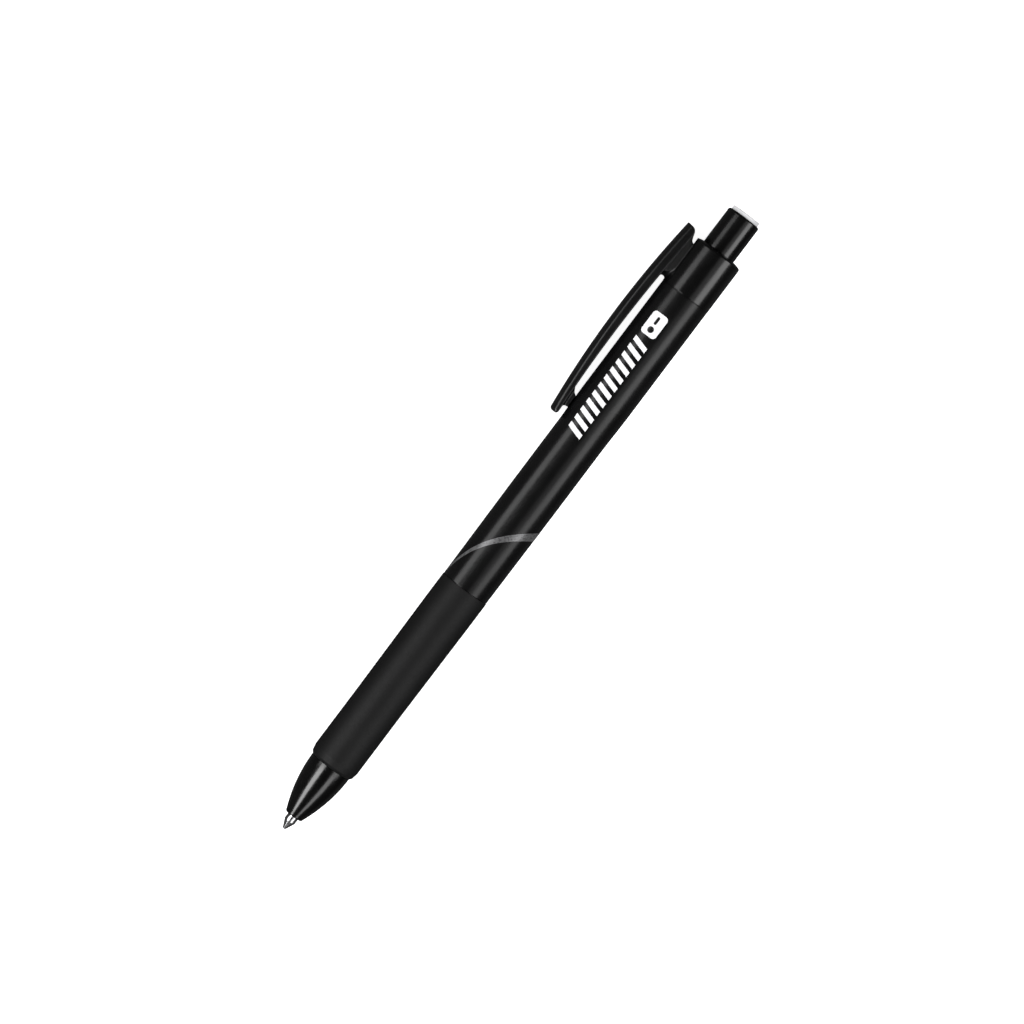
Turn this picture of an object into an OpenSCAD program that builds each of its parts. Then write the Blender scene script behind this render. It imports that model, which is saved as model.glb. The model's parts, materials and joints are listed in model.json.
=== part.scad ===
// Retractable gel pen with a rubber grip, a pocket clip and a click mechanism.
// Every piece is drawn upright, point down: the writing ball's front is at z = 0, the pen's axis is Z
// and the clip is towards +X. lay_down() then lays the pen on its side, point towards -X, resting on
// the collar and on the clip's edge. The point is out and the button is latched.

/* [Outside lengths] */
// Steel tip and ball standing out of the nose cone
tip_reach = 3; // [2.6:0.1:3.4]
// Nose cone, from its front to the grip
nose_len = 11.9; // [11.4:0.1:12.4]
// Rubber grip
grip_len = 42; // [36:0.2:46]
// Barrel between the grip and the collar
barrel_len = 68.7; // [66:0.1:72]
// Collar
collar_len = 10.5; // [10.3:0.1:10.8]
// Button standing out of the collar
button_out = 8; // [7:0.1:9]
// Plug standing out of the button
plug_proud = 0.8; // [0.3:0.1:1]

/* [Outside diameters] */
// Nose cone at its front
nose_front_d = 3.5; // [3.4:0.1:4]
// Nose cone at the grip
nose_rear_d = 8.5; // [8.4:0.1:8.6]
// Grip behind its front bevel
grip_front_d = 9.8; // [9.6:0.02:9.8]
// Grip at its rear end
grip_rear_d = 10.06; // [9.9:0.02:10.08]
// Barrel at the grip
barrel_front_d = 9.9; // [9.8:0.02:10]
// Straight part of the barrel below the clip
barrel_mid_d = 10.1; // [10.1:0.02:10.2]
// Barrel under the clip, up to the collar
barrel_rear_d = 10.36; // [10.3:0.02:10.38]
// Collar
collar_d = 10.4; // [10.4:0.02:10.6]
// Button
button_d = 6.9; // [6.8:0.02:6.94]
// Plug in the button's end
plug_d = 6; // [5.6:0.1:6]

/* [Clip] */
// Width of the clip
clip_w = 5.2; // [4.6:0.1:5.6]
// Thickness of the clip at its middle
clip_t = 2.6; // [2.3:0.1:2.7]
// Height of the crowned top within that thickness
clip_crown = 1.05; // [0.8:0.05:1.2]
// Highest point of the clip above the pen's axis
clip_crest = 8.98; // [8.9:0.02:9.1]
// Radius of the clip's long arch
clip_arch_r = 201.5; // [190:0.5:220]

/* [Refill and click mechanism] */
// Refill, from the ball to the open end of the tube
refill_len = 110; // [109.6:0.1:110.2]
// Outside of the refill tube
refill_d = 6; // [5.8:0.1:6.1]
// Steel tip
tip_d = 2.3; // [2.2:0.05:2.35]
// Writing ball
ball_d = 0.5; // [0.4:0.1:0.6]
// Travel of the button and refill between point out and point in
click_travel = 4.6; // [4:0.1:4.6]
// Travel of the button past the latch
press_travel = 1.2; // [0.9:0.1:1.2]
// Turns of the return spring
spring_turns = 10; // [8:1:12]

/* [Hidden] */
$fn = 96;
cut = 0.5; // overrun of a cutter past the face that it cuts

// Heights of the outside pieces along the pen
nose_z = tip_reach;
grip_z = nose_z + nose_len;
barrel_z = grip_z + grip_len;
collar_z = barrel_z + barrel_len;
rim_z = collar_z + collar_len;
button_end_z = rim_z + button_out;
pen_len = button_end_z + plug_proud;

// Nose cone: a parabola outside, the tip hole in front and a screwed stub behind
nose_steps = 20;
nose_lip = 0.3;
tip_hole_d = tip_d + 0.14;
tip_hole_len = 3;
spring_seat_z = nose_z + 4.5;
spring_bore_d = 4.8;
spring_ledge_d = 4;
stub_len = 5;
stub_d = 7;
stub_bore_d = 5.4;
stub_bore_z = grip_z - 1.5;

// Rubber grip: two bevels in front, then a slow taper outwards to the rear
grip_bevel = [0.6, 0.95]; // depth, length
grip_shoulder = [0.12, 1.95];
grip_front_len = 15;
grip_taper_end = 5;
grip_rear_round = [0.06, 0.8];

// Barrel
seam_bevel = 0.12;
neck_d = 8.2;
neck_bore_d = 6.5;
stub_socket_d = stub_d + 0.1;
stub_socket_len = stub_len + 0.4;
rear_bore_d = 7.2;
bore_step_z = barrel_z + 2.5;
bore_step_len = 2;
taper_z = barrel_z + 20.7;
land_end_z = barrel_z + 36.9;
full_d_z = land_end_z + 6.5;

// Clip: its arch is centred on a line that crosses the pen at arch_z
arch_z = collar_z - 9.5;
arch_axis_r = clip_crest - clip_arch_r;
crown_r = (clip_crown * clip_crown + clip_w * clip_w / 4) / (2 * clip_crown);
clip_end_z = arch_z - 22.5;
clip_end_round = 0.88;
clip_end_drop = 0.99; // from the crowned top's edge to the centre of the rounded end
clip_root_z = collar_z + 0.9;
clip_under_r = clip_arch_r + 90; // the underside is a flatter arch, so the clip thins downwards
clip_under_z = arch_z - 4.1;
clip_under_crest = clip_crest - clip_t + 0.13;
clip_under_sweep = 8;
clip_top_z = rim_z + 1.2;
web_w = clip_w - 0.2;
web_top_r = 7;
notch_floor_r = 4.65;
notch_z = rim_z - 1.7;
nub_w = clip_w - 1.2;
nub_gap = 0.05;
nub_z = clip_end_z + 2;
nub_len = 2.9;
nub_h = 1.3;

// Collar
rim_round = 0.9;
rim_chamfer = 0.25;
button_gap = 0.1;

// Click mechanism: the rotor and plunger slide in four grooves of the sleeve
fin_count = 4;
fin_w = 1.2;
fin_d = 7.5;
fin_bevel = 0.6;
groove_w = 1.6;
groove_d = 7.7;
sleeve_d = 8.7;
sleeve_z = refill_len - 0.5;
rib_bore_d = 6.2;
rib_z = refill_len + 6.95;
rib_len = 7.05;
rib_notch = 0.6;
cam_d = 5.9;
crown_bore_d = 3.8;
tooth_count = 8;
tooth_w = 1.9;
tooth_h = 0.7;
tooth_mouth = 1; // how far a tooth gap's cutter runs past the teeth
running_gap = 0.05;
rotor_z = refill_len + running_gap;
rotor_top_z = refill_len + 6.2;
rotor_fin_z = rotor_z + 1.2;
rotor_cup_z = rotor_z + 2.5;
rotor_spigot = [2.3, 0.7]; // radius, length, in the end of the refill tube
plunger_z = rotor_top_z + 0.8;
plunger_cup_len = 4;
plunger_fin_z = plunger_z + 1;
plunger_fin_len = 5.2;
collar_top_t = 1.6;
flange_d = 7.5;
flange_t = 1.4;
flange_z = rim_z - collar_top_t - click_travel - flange_t - 0.2;
stem_d = 4.8;
stem_len = 11.6;
plug_shank_len = 2.7;
plug_shank_bevel = 0.3;
plug_edge = 0.15;
plug_seat_z = button_end_z - 1;
button_round = 0.4;

// Refill
tube_bore_d = 5;
film = 0.02; // gap between a filling and the wall around it
holder_z = 9;
holder_d = 3.2;
holder_flange_z = grip_z + stub_len + press_travel + 0.5;
holder_bevel = [0.2, 0.3];
holder_cone_len = 5;
holder_rim = 0.5;
tube_z = 24;
holder_plug_z = 29;
tip_tail_d = 1.9;
tip_tail_z = 13;
holder_bore_d = 1.6;
ink_z = 88;
grease_z = 94;
tail_z = 104;
vent_d = 0.8;
tail_bevel = [0.28, 0.4];
tail_inset = 0.8;

// Steel tip: a socket holds the ball just behind the tip's front face
socket_gap = 0.01;
tip_face_z = 0.13;
tip_face_d = 0.66;
tip_cone_z = 1.9;
ink_feed_d = 0.36;
chamber_cone_z = 0.6;
chamber_z = 1.5;
chamber_end_z = 8.6;
chamber_d = 1.1;
crimp_d = 0.7;

// Springs
return_wire_d = 0.4;
return_coil_d = 4.1;
ball_wire_d = 0.1;
ball_coil_d = 0.76;
ball_spring_turns = 12;
ball_spring_taper = 2; // turns that narrow towards the ball

// Rolled over until the clip's edge is as low as the collar
clip_edge_r = clip_crest - clip_crown;
clip_roll = asin(collar_d / 2 / norm([clip_edge_r, clip_w / 2])) - atan2(clip_w / 2, clip_edge_r);
side_reach = (clip_crest - crown_r) * cos(clip_roll) + crown_r;

module lay_down() {
    translate([-pen_len / 2, (collar_d / 2 - side_reach) / 2, collar_d / 2])
        rotate([-clip_roll, 0, 0]) rotate([90, 0, 90]) children();
}

// Solid turned about the pen's axis, from an outline of [radius, height] points
module turned(outline) {
    rotate_extrude() polygon(outline);
}

// Tube or solid rod between two heights
module pipe(d, bore, z0, z1) {
    translate([0, 0, z0]) difference() {
        cylinder(d = d, h = z1 - z0);
        if (bore > 0) translate([0, 0, -cut]) cylinder(d = bore, h = z1 - z0 + 2 * cut);
    }
}

// Outline across the pen (tangent, height), pushed out along the radius from the axis
module radial(reach) {
    rotate([90, 0, 90]) linear_extrude(reach) children();
}

// Outline seen from the pen's side (height, radius), made as wide as the given width
module side_slab(width) {
    rotate([0, -90, -90]) linear_extrude(width, center = true) children();
}

function nose_r(t) = (nose_front_d + (nose_rear_d - nose_front_d) * (1 - pow(1 - t, 2))) / 2;

module nose_cone() {
    color("#17171a") lay_down() turned(concat(
        [[tip_hole_d / 2, nose_z], [nose_front_d / 2 - nose_lip, nose_z]],
        [[nose_front_d / 2, nose_z + 0.8 * nose_lip]],
        [for (i = [1:nose_steps]) [nose_r(i / nose_steps), nose_z + nose_len * i / nose_steps]],
        [
            [stub_d / 2, grip_z],
            [stub_d / 2, grip_z + stub_len],
            [stub_bore_d / 2, grip_z + stub_len],
            [stub_bore_d / 2, stub_bore_z],
            [spring_bore_d / 2, stub_bore_z - 1],
            [spring_bore_d / 2, spring_seat_z],
            [spring_ledge_d / 2, spring_seat_z],
            [tip_hole_d / 2, nose_z + tip_hole_len]
        ]
    ));
}

module rubber_grip() {
    bore_r = neck_d / 2 + film;
    front_r = grip_front_d / 2;
    rear_r = grip_rear_d / 2;
    color("#2e2e30") lay_down() turned([
        [bore_r, grip_z],
        [front_r - grip_bevel[0], grip_z],
        [front_r - grip_shoulder[0], grip_z + grip_bevel[1]],
        [front_r, grip_z + grip_shoulder[1]],
        [front_r, grip_z + grip_front_len],
        [rear_r, barrel_z - grip_taper_end],
        [rear_r, barrel_z - grip_rear_round[1]],
        [rear_r - grip_rear_round[0], barrel_z],
        [bore_r, barrel_z]
    ]);
}

module barrel() {
    color("#1d1d20") lay_down() turned([
        [stub_socket_d / 2, grip_z],
        [neck_d / 2, grip_z],
        [neck_d / 2, barrel_z],
        [barrel_front_d / 2 - seam_bevel, barrel_z],
        [barrel_front_d / 2, barrel_z + seam_bevel],
        [barrel_mid_d / 2, taper_z],
        [barrel_mid_d / 2, land_end_z],
        [barrel_rear_d / 2, full_d_z],
        [barrel_rear_d / 2, collar_z - seam_bevel],
        [barrel_rear_d / 2 - seam_bevel, collar_z],
        [sleeve_d / 2, collar_z],
        [sleeve_d / 2, sleeve_z],
        [rear_bore_d / 2, sleeve_z],
        [rear_bore_d / 2, bore_step_z + bore_step_len],
        [neck_bore_d / 2, bore_step_z],
        [neck_bore_d / 2, grip_z + stub_socket_len],
        [stub_socket_d / 2, grip_z + stub_socket_len]
    ]);
}

// Arched strip with a crowned top and a flatter underside, between two heights
module clip_strip(z0, z1) {
    sweep0 = asin((z0 - arch_z) / clip_arch_r);
    sweep1 = asin((z1 - arch_z) / clip_arch_r);
    difference() {
        translate([arch_axis_r, 0, arch_z]) rotate([90, 0, 0]) rotate([0, 0, sweep0])
            rotate_extrude(angle = sweep1 - sweep0) intersection() {
                translate([clip_arch_r - clip_t, -clip_w / 2]) square([clip_t, clip_w]);
                translate([clip_arch_r - crown_r, 0]) circle(r = crown_r);
            }
        translate([clip_under_crest - clip_under_r, 0, clip_under_z])
            rotate([90, 0, 0]) rotate([0, 0, -clip_under_sweep])
                rotate_extrude(angle = 2 * clip_under_sweep)
                    translate([clip_under_r - clip_t, -clip_w]) square([clip_t, 2 * clip_w]);
    }
}

// Pad under the clip's lower end that presses on the barrel
module clip_nub() {
    foot_r = (barrel_mid_d + barrel_rear_d) / 4 + nub_gap;
    side_slab(nub_w) polygon([
        [nub_z + 0.2, foot_r], [nub_z + nub_len, foot_r],
        [nub_z + nub_len + 0.5, foot_r + nub_h / 2], [nub_z + nub_len + 1.3, foot_r + nub_h],
        [nub_z - 0.2, foot_r + nub_h], [nub_z, foot_r + 0.7 * nub_h]
    ]);
}

module pocket_clip() {
    end_r = clip_crest - clip_crown - clip_end_drop;
    color("#141416") lay_down() {
        intersection() {
            clip_strip(clip_end_z - 1, clip_root_z);
            side_slab(clip_w + 1) union() {
                translate([clip_end_z + clip_end_round, end_r]) circle(r = clip_end_round);
                translate([clip_end_z + clip_end_round, end_r - clip_end_round])
                    square([clip_root_z - clip_end_z, 5]);
                translate([nub_z, 0]) square([clip_root_z - clip_end_z, clip_crest + 1]);
            }
        }
        clip_nub();
    }
}

// Collar's own ring, with the relief under the clip's top end
module collar_ring() {
    difference() {
        turned([
            [sleeve_d / 2, collar_z],
            [collar_d / 2 - seam_bevel, collar_z],
            [collar_d / 2, collar_z + seam_bevel],
            [collar_d / 2, rim_z - rim_round],
            [collar_d / 2 - 0.3 * rim_round, rim_z - 0.3 * rim_round],
            [collar_d / 2 - rim_round, rim_z],
            [button_d / 2 + button_gap + rim_chamfer, rim_z],
            [button_d / 2 + button_gap, rim_z - rim_chamfer],
            [button_d / 2 + button_gap, rim_z - collar_top_t],
            [sleeve_d / 2, rim_z - collar_top_t]
        ]);
        translate([notch_floor_r, -web_w / 2, notch_z]) cube([2, web_w, 3]);
    }
}

// Web between the collar and the clip, round in front
module clip_web() {
    front = clip_root_z + web_w / 2;
    intersection() {
        rotate([0, 90, 0]) linear_extrude(web_top_r) union() {
            translate([-front, 0]) circle(d = web_w);
            translate([-clip_top_z, -web_w / 2]) square([clip_top_z - front, web_w]);
        }
        side_slab(clip_w) clip_top_outline();
    }
}

// Side view of the web and of the clip's top end, which overhangs the relief in an S curve
module clip_top_outline() {
    polygon([
        [clip_root_z, collar_d / 2 - 0.7], [notch_z, collar_d / 2 - 0.7],
        [notch_z, notch_floor_r], [notch_z + 0.3, 5.1], [notch_z + 0.9, 5.4],
        [notch_z + 1.9, 5.7], [clip_top_z - 0.5, 6.2], [clip_top_z - 0.25, 7],
        [clip_top_z, 9.5], [clip_root_z, 9.5]
    ]);
}

module top_collar() {
    color("#111113") lay_down() {
        collar_ring();
        difference() {
            clip_web();
            translate([0, 0, collar_z]) cylinder(d = collar_d - 0.6, h = collar_len);
        }
        intersection() {
            clip_strip(clip_root_z, clip_top_z + 1);
            side_slab(clip_w + 1) clip_top_outline();
        }
    }
}

module cam_sleeve() {
    color("#d9d9d2") lay_down() difference() {
        translate([0, 0, sleeve_z]) cylinder(d = sleeve_d, h = rim_z - collar_top_t - sleeve_z);
        translate([0, 0, sleeve_z - cut]) cylinder(d = rib_bore_d, h = pen_len);
        translate([0, 0, sleeve_z - cut]) cylinder(d = groove_d, h = rib_z - sleeve_z + cut);
        translate([0, 0, rib_z + rib_len]) cylinder(d = groove_d, h = pen_len);
        intersection() {
            for (i = [0:fin_count - 1]) rotate([0, 0, 360 * i / fin_count])
                radial(groove_d) translate([-groove_w / 2, rib_z - cut])
                    square([groove_w, rib_len + 2 * cut]);
            translate([0, 0, sleeve_z]) cylinder(d = groove_d, h = pen_len);
        }
        intersection() {
            for (i = [0:fin_count - 1]) rotate([0, 0, 360 * (i + 0.5) / fin_count])
                radial(groove_d) polygon([[-1.2, rib_z], [1.2, rib_z], [0, rib_z + rib_notch]]);
            translate([0, 0, sleeve_z]) cylinder(d = groove_d, h = pen_len);
        }
    }
}

// Fins that run in the sleeve's grooves, bevelled on top
module fins(z0, z1, bevel) {
    intersection() {
        for (i = [0:fin_count - 1]) rotate([0, 0, 360 * i / fin_count]) radial(fin_d) polygon([
            [-fin_w / 2, z0], [fin_w / 2, z0], [fin_w / 2, z1 - bevel], [-fin_w / 2, z1]
        ]);
        translate([0, 0, z0]) cylinder(d = fin_d, h = z1 - z0);
    }
}

// Notches between the teeth of a crown: open upwards for way = 1, downwards for way = -1
module tooth_gaps(z, way) {
    for (i = [0:tooth_count - 1]) rotate([0, 0, 360 * (i + 0.5) / tooth_count])
        radial(cam_d) polygon([
            [-tooth_w / 2, z], [0, z - way * tooth_h], [tooth_w / 2, z],
            [tooth_w / 2, z + way * tooth_mouth], [-tooth_w / 2, z + way * tooth_mouth]
        ]);
}

module cam_rotor() {
    color("#e6e1d2") lay_down() difference() {
        union() {
            turned([
                [0, rotor_z - rotor_spigot[1]],
                [rotor_spigot[0] - 0.2, rotor_z - rotor_spigot[1]],
                [rotor_spigot[0], rotor_z - rotor_spigot[1] + 0.2],
                [rotor_spigot[0], rotor_z],
                [cam_d / 2, rotor_z], [cam_d / 2, rotor_top_z], [0, rotor_top_z]
            ]);
            fins(rotor_fin_z, rotor_top_z - 0.1, fin_bevel);
        }
        translate([0, 0, rotor_cup_z]) cylinder(d = crown_bore_d, h = rotor_top_z);
        tooth_gaps(rotor_top_z, 1);
    }
}

module cam_plunger() {
    color("#cfcfc8") lay_down() difference() {
        union() {
            pipe(cam_d, 0, plunger_z, flange_z);
            pipe(stem_d, 0, flange_z - cut, flange_z + stem_len);
            fins(plunger_fin_z, plunger_fin_z + plunger_fin_len, 0);
        }
        translate([0, 0, plunger_z - cut]) cylinder(d = crown_bore_d, h = plunger_cup_len + cut);
        tooth_gaps(plunger_z, -1);
    }
}

module push_button() {
    color("#161618") lay_down() turned([
        [stem_d / 2, flange_z],
        [flange_d / 2 - 0.2, flange_z],
        [flange_d / 2, flange_z + 0.2],
        [flange_d / 2, flange_z + flange_t],
        [button_d / 2, flange_z + flange_t],
        [button_d / 2, button_end_z - button_round],
        [button_d / 2 - 0.3 * button_round, button_end_z - 0.3 * button_round],
        [button_d / 2 - button_round, button_end_z],
        [plug_d / 2, button_end_z],
        [plug_d / 2, plug_seat_z],
        [stem_d / 2, plug_seat_z]
    ]);
}

module button_end_plug() {
    color("#b9bbbd") lay_down() turned([
        [0, plug_seat_z - plug_shank_len],
        [stem_d / 2 - plug_shank_bevel, plug_seat_z - plug_shank_len],
        [stem_d / 2 - film, plug_seat_z - plug_shank_len + plug_shank_bevel],
        [stem_d / 2 - film, plug_seat_z],
        [plug_d / 2 - film, plug_seat_z],
        [plug_d / 2 - film, pen_len - plug_edge],
        [plug_d / 2 - plug_edge, pen_len],
        [0, pen_len]
    ]);
}

module refill_tube() {
    color("#dfe3e6") lay_down() pipe(refill_d, tube_bore_d, tube_z, refill_len);
}

module tip_holder() {
    color("#f2f2ee") lay_down() turned([
        [tip_tail_d / 2, holder_z],
        [holder_d / 2 - holder_bevel[0], holder_z],
        [holder_d / 2, holder_z + holder_bevel[1]],
        [holder_d / 2, holder_flange_z],
        [refill_d / 2 - 0.6, holder_flange_z],
        [refill_d / 2, holder_flange_z + 0.6],
        [refill_d / 2, tube_z],
        [tube_bore_d / 2 - film, tube_z],
        [tube_bore_d / 2 - film, holder_plug_z],
        [tube_bore_d / 2 - holder_rim, holder_plug_z],
        [holder_bore_d / 2, holder_plug_z - holder_cone_len],
        [holder_bore_d / 2, tip_tail_z],
        [tip_tail_d / 2, tip_tail_z]
    ]);
}

module ink_column() {
    color("#050506") lay_down() turned([
        [0, tip_tail_z],
        [holder_bore_d / 2 - film, tip_tail_z],
        [holder_bore_d / 2 - film, holder_plug_z - holder_cone_len],
        [tube_bore_d / 2 - holder_rim - film, holder_plug_z],
        [tube_bore_d / 2 - film, holder_plug_z],
        [tube_bore_d / 2 - film, ink_z],
        [0, ink_z]
    ]);
}

module grease_follower() {
    color("#e8dfa8") lay_down() pipe(tube_bore_d - 2 * film, 0, ink_z, grease_z);
}

module refill_tail_plug() {
    color("#f4f4f4") lay_down() turned([
        [vent_d / 2, tail_z],
        [tube_bore_d / 2 - film - tail_bevel[0], tail_z],
        [tube_bore_d / 2 - film, tail_z + tail_bevel[1]],
        [tube_bore_d / 2 - film, refill_len - tail_inset],
        [vent_d / 2, refill_len - tail_inset]
    ]);
}

module metal_tip() {
    color("#c9ccd0") lay_down() difference() {
        turned([
            [0, tip_face_z],
            [tip_face_d / 2, tip_face_z],
            [tip_d / 2, tip_cone_z],
            [tip_d / 2, holder_z],
            [tip_tail_d / 2, holder_z],
            [tip_tail_d / 2, tip_tail_z],
            [0, tip_tail_z]
        ]);
        translate([0, 0, ball_d / 2]) sphere(d = ball_d + 2 * socket_gap);
        translate([0, 0, ball_d / 2]) cylinder(d = ink_feed_d, h = tip_tail_z);
        turned([
            [0, chamber_cone_z], [ink_feed_d / 2, chamber_cone_z], [chamber_d / 2, chamber_z],
            [chamber_d / 2, chamber_end_z], [0, chamber_end_z]
        ]);
        translate([0, 0, chamber_end_z - cut]) cylinder(d = crimp_d, h = tip_tail_z);
    }
}

module writing_ball() {
    color("#8d9196") lay_down() translate([0, 0, ball_d / 2]) sphere(d = ball_d);
}

// Height of a coil's centre after n turns: the end turns lie close, the others are evenly open
function coil_z(n, turns, wire, z0, z1) =
    let (close = 1.1 * wire, open = (z1 - z0 - wire - 2 * close) / (turns - 2))
    z0 + wire / 2 + (n < 1 ? n * close : n > turns - 1 ? close + (turns - 2) * open
        + (n - turns + 1) * close : close + (n - 1) * open);

// Coil spring of round wire between two heights, narrowed to end_d over its first taper turns
module coil(coil_d, wire, z0, z1, turns, steps, sides, taper = 0, end_d = 0) {
    rings = turns * steps;
    points = [
        for (k = [0:rings]) let (
            a = 360 * k / steps,
            z = coil_z(k / steps, turns, wire, z0, z1),
            narrowing = taper > 0 ? max(0, 1 - k / steps / taper) : 0
        ) for (s = [0:sides - 1]) let (
            q = 360 * s / sides,
            r = (coil_d - (coil_d - end_d) * narrowing + wire * cos(q)) / 2
        ) [r * cos(a), r * sin(a), z + wire / 2 * sin(q)]
    ];
    walls = [
        for (k = [0:rings - 1]) for (s = [0:sides - 1]) let (n = (s + 1) % sides)
            [k * sides + s, k * sides + n, (k + 1) * sides + n, (k + 1) * sides + s]
    ];
    ends = [
        [for (s = [sides - 1:-1:0]) s],
        [for (s = [0:sides - 1]) rings * sides + s]
    ];
    polyhedron(points, concat(walls, ends), convexity = 10);
}

module return_spring() {
    color("#aeb2b6") lay_down() coil(return_coil_d, return_wire_d, spring_seat_z, holder_flange_z,
        spring_turns, 20, 8);
}

// Fine spring in the steel tip, narrowed in front where it pushes on the ball
module ball_spring() {
    color("#9aa0a6") lay_down() coil(ball_coil_d, ball_wire_d, ball_d + 2 * socket_gap,
        chamber_end_z, ball_spring_turns, 10, 5, ball_spring_taper, 0.18);
}

nose_cone();
rubber_grip();
barrel();
top_collar();
pocket_clip();
cam_sleeve();
push_button();
button_end_plug();
cam_plunger();
cam_rotor();
refill_tube();
ink_column();
grease_follower();
refill_tail_plug();
tip_holder();
metal_tip();
writing_ball();
ball_spring();
return_spring();
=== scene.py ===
import json
import math

import bmesh
import bpy
import numpy as np
from mathutils import Matrix, Vector, geometry

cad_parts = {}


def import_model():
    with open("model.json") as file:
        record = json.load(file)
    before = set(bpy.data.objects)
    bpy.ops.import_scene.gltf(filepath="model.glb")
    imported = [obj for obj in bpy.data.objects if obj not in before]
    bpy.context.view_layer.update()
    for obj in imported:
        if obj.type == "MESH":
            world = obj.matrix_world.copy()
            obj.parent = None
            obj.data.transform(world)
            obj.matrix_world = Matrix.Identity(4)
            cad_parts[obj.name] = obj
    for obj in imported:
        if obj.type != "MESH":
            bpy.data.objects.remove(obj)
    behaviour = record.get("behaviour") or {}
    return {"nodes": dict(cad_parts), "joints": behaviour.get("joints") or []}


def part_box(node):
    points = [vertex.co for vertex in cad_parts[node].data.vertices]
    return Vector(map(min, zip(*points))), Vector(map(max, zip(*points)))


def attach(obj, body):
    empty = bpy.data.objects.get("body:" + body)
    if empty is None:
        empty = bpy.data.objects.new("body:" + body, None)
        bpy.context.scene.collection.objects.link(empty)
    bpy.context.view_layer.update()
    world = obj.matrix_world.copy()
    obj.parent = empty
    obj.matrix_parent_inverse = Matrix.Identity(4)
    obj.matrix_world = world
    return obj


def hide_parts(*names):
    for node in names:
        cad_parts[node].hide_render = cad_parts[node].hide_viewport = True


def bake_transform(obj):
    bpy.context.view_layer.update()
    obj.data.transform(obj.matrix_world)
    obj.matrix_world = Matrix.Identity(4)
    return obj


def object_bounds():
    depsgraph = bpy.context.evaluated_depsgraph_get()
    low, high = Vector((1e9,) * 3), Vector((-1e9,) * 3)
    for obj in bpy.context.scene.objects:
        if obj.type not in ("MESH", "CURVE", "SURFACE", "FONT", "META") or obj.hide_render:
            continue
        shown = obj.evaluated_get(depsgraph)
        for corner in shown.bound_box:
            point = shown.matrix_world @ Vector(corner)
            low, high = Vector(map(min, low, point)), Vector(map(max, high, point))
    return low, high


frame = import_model()
cad_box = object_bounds()

# ------------------------------------------------------------------ the pen's own directions
# Every length below is in millimetres. A place on the pen is (z, a, b): z along the pen from the
# front of the writing ball, a across it towards the clip and b across it towards the camera.
MM = 0.001
joints = {joint["name"]: joint for joint in frame["joints"]}
ALONG = Vector((1, 0, 0))
SIDE = Vector(joints["ball_roll"]["axis"]).normalized()
CLIP = SIDE.cross(ALONG)
TIP = Vector(joints["ball_roll"]["pos_m"])
TIP.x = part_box("writing_ball")[0].x


def place(z, a=0.0, b=0.0):
    """Row-frame point, in metres, of a place on the pen."""
    return TIP + (ALONG * z + CLIP * a + SIDE * b) * MM


def front(node):
    """Where a node begins along the pen."""
    return (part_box(node)[0].x - TIP.x) / MM


def rear(node):
    """Where a node ends along the pen."""
    return (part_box(node)[1].x - TIP.x) / MM


def radius(node):
    """Largest radius of a turned node."""
    low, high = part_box(node)
    return (high.z - low.z) / 2 / MM


NOSE_Z = front("nose_cone")
GRIP_Z = front("rubber_grip")
BARREL_Z = rear("rubber_grip")
COLLAR_Z = rear("barrel")
BUTTON_END_Z = rear("push_button")
PEN_LEN = rear("button_end_plug")
FLANGE_Z = front("push_button")
GRIP_R = radius("rubber_grip")
BARREL_R = radius("barrel")
BUTTON_FLANGE_R = radius("push_button")
PLUG_R = radius("button_end_plug")
TIP_R = radius("metal_tip")

# Measures that the nodes' boxes don't give, the same as in the CAD
COLLAR_LEN = 10.5
COLLAR_R = 5.2
RIM_Z = COLLAR_Z + COLLAR_LEN
NOSE_FRONT_R = 1.75
NOSE_REAR_R = 4.25
NECK_R = 4.1
BUTTON_R = 3.45
STEM_R = 2.4
SLEEVE_R = 4.35
SLEEVE_Z = front("cam_sleeve")

# ------------------------------------------------------------------ mesh helpers
SEGMENTS = 192
SHARP_ANGLE = math.radians(38)


def finish_piece(mesh, name, body, material, replaced=()):
    """Object from a mesh, smooth between its sharp edges, riding on a body (None: left on no body)."""
    mesh.shade_smooth()
    mesh.set_sharp_from_angle(angle=SHARP_ANGLE)
    piece = bpy.data.objects.new(name, mesh)
    bpy.context.scene.collection.objects.link(piece)
    mesh.materials.append(material)
    if body:
        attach(piece, body)
    if replaced:
        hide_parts(*replaced)
    return piece


def mesh_of(bm, name):
    """Mesh datablock of a bmesh, with its faces turned outwards."""
    mesh = bpy.data.meshes.new(name)
    bmesh.ops.recalc_face_normals(bm, faces=bm.faces)
    bm.to_mesh(mesh)
    bm.free()
    return mesh


def rounded(corners, steps=8):
    """Outline of (z, r) points from corners (z, r, fillet): each fillet is an arc of that radius."""
    points = []
    for i, (z, r, fillet) in enumerate(corners):
        here = Vector((z, r))
        if not fillet:
            points.append((z, r))
            continue
        back = (Vector(corners[i - 1][:2]) - here).normalized()
        ahead = (Vector(corners[(i + 1) % len(corners)][:2]) - here).normalized()
        half = back.angle(ahead) / 2
        centre = here + (back + ahead).normalized() * fillet / math.sin(half)
        first = here + back * fillet / math.tan(half) - centre
        last = here + ahead * fillet / math.tan(half) - centre
        turn = first.angle(last)
        for k in range(steps + 1):
            share = k / steps
            arm = first * math.sin((1 - share) * turn) + last * math.sin(share * turn)
            points.append(tuple(centre + arm / math.sin(turn)))
    return points


def supported(points, near=0.05, least=0.6):
    """The same closed outline with a point just inside both ends of every long straight stretch."""
    result = []
    for here, following in zip(points, points[1:] + points[:1]):
        result.append(here)
        step = Vector(following) - Vector(here)
        if step.length > least:
            result.append(tuple(Vector(here) + step.normalized() * near))
            result.append(tuple(Vector(following) - step.normalized() * near))
    return result


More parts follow.
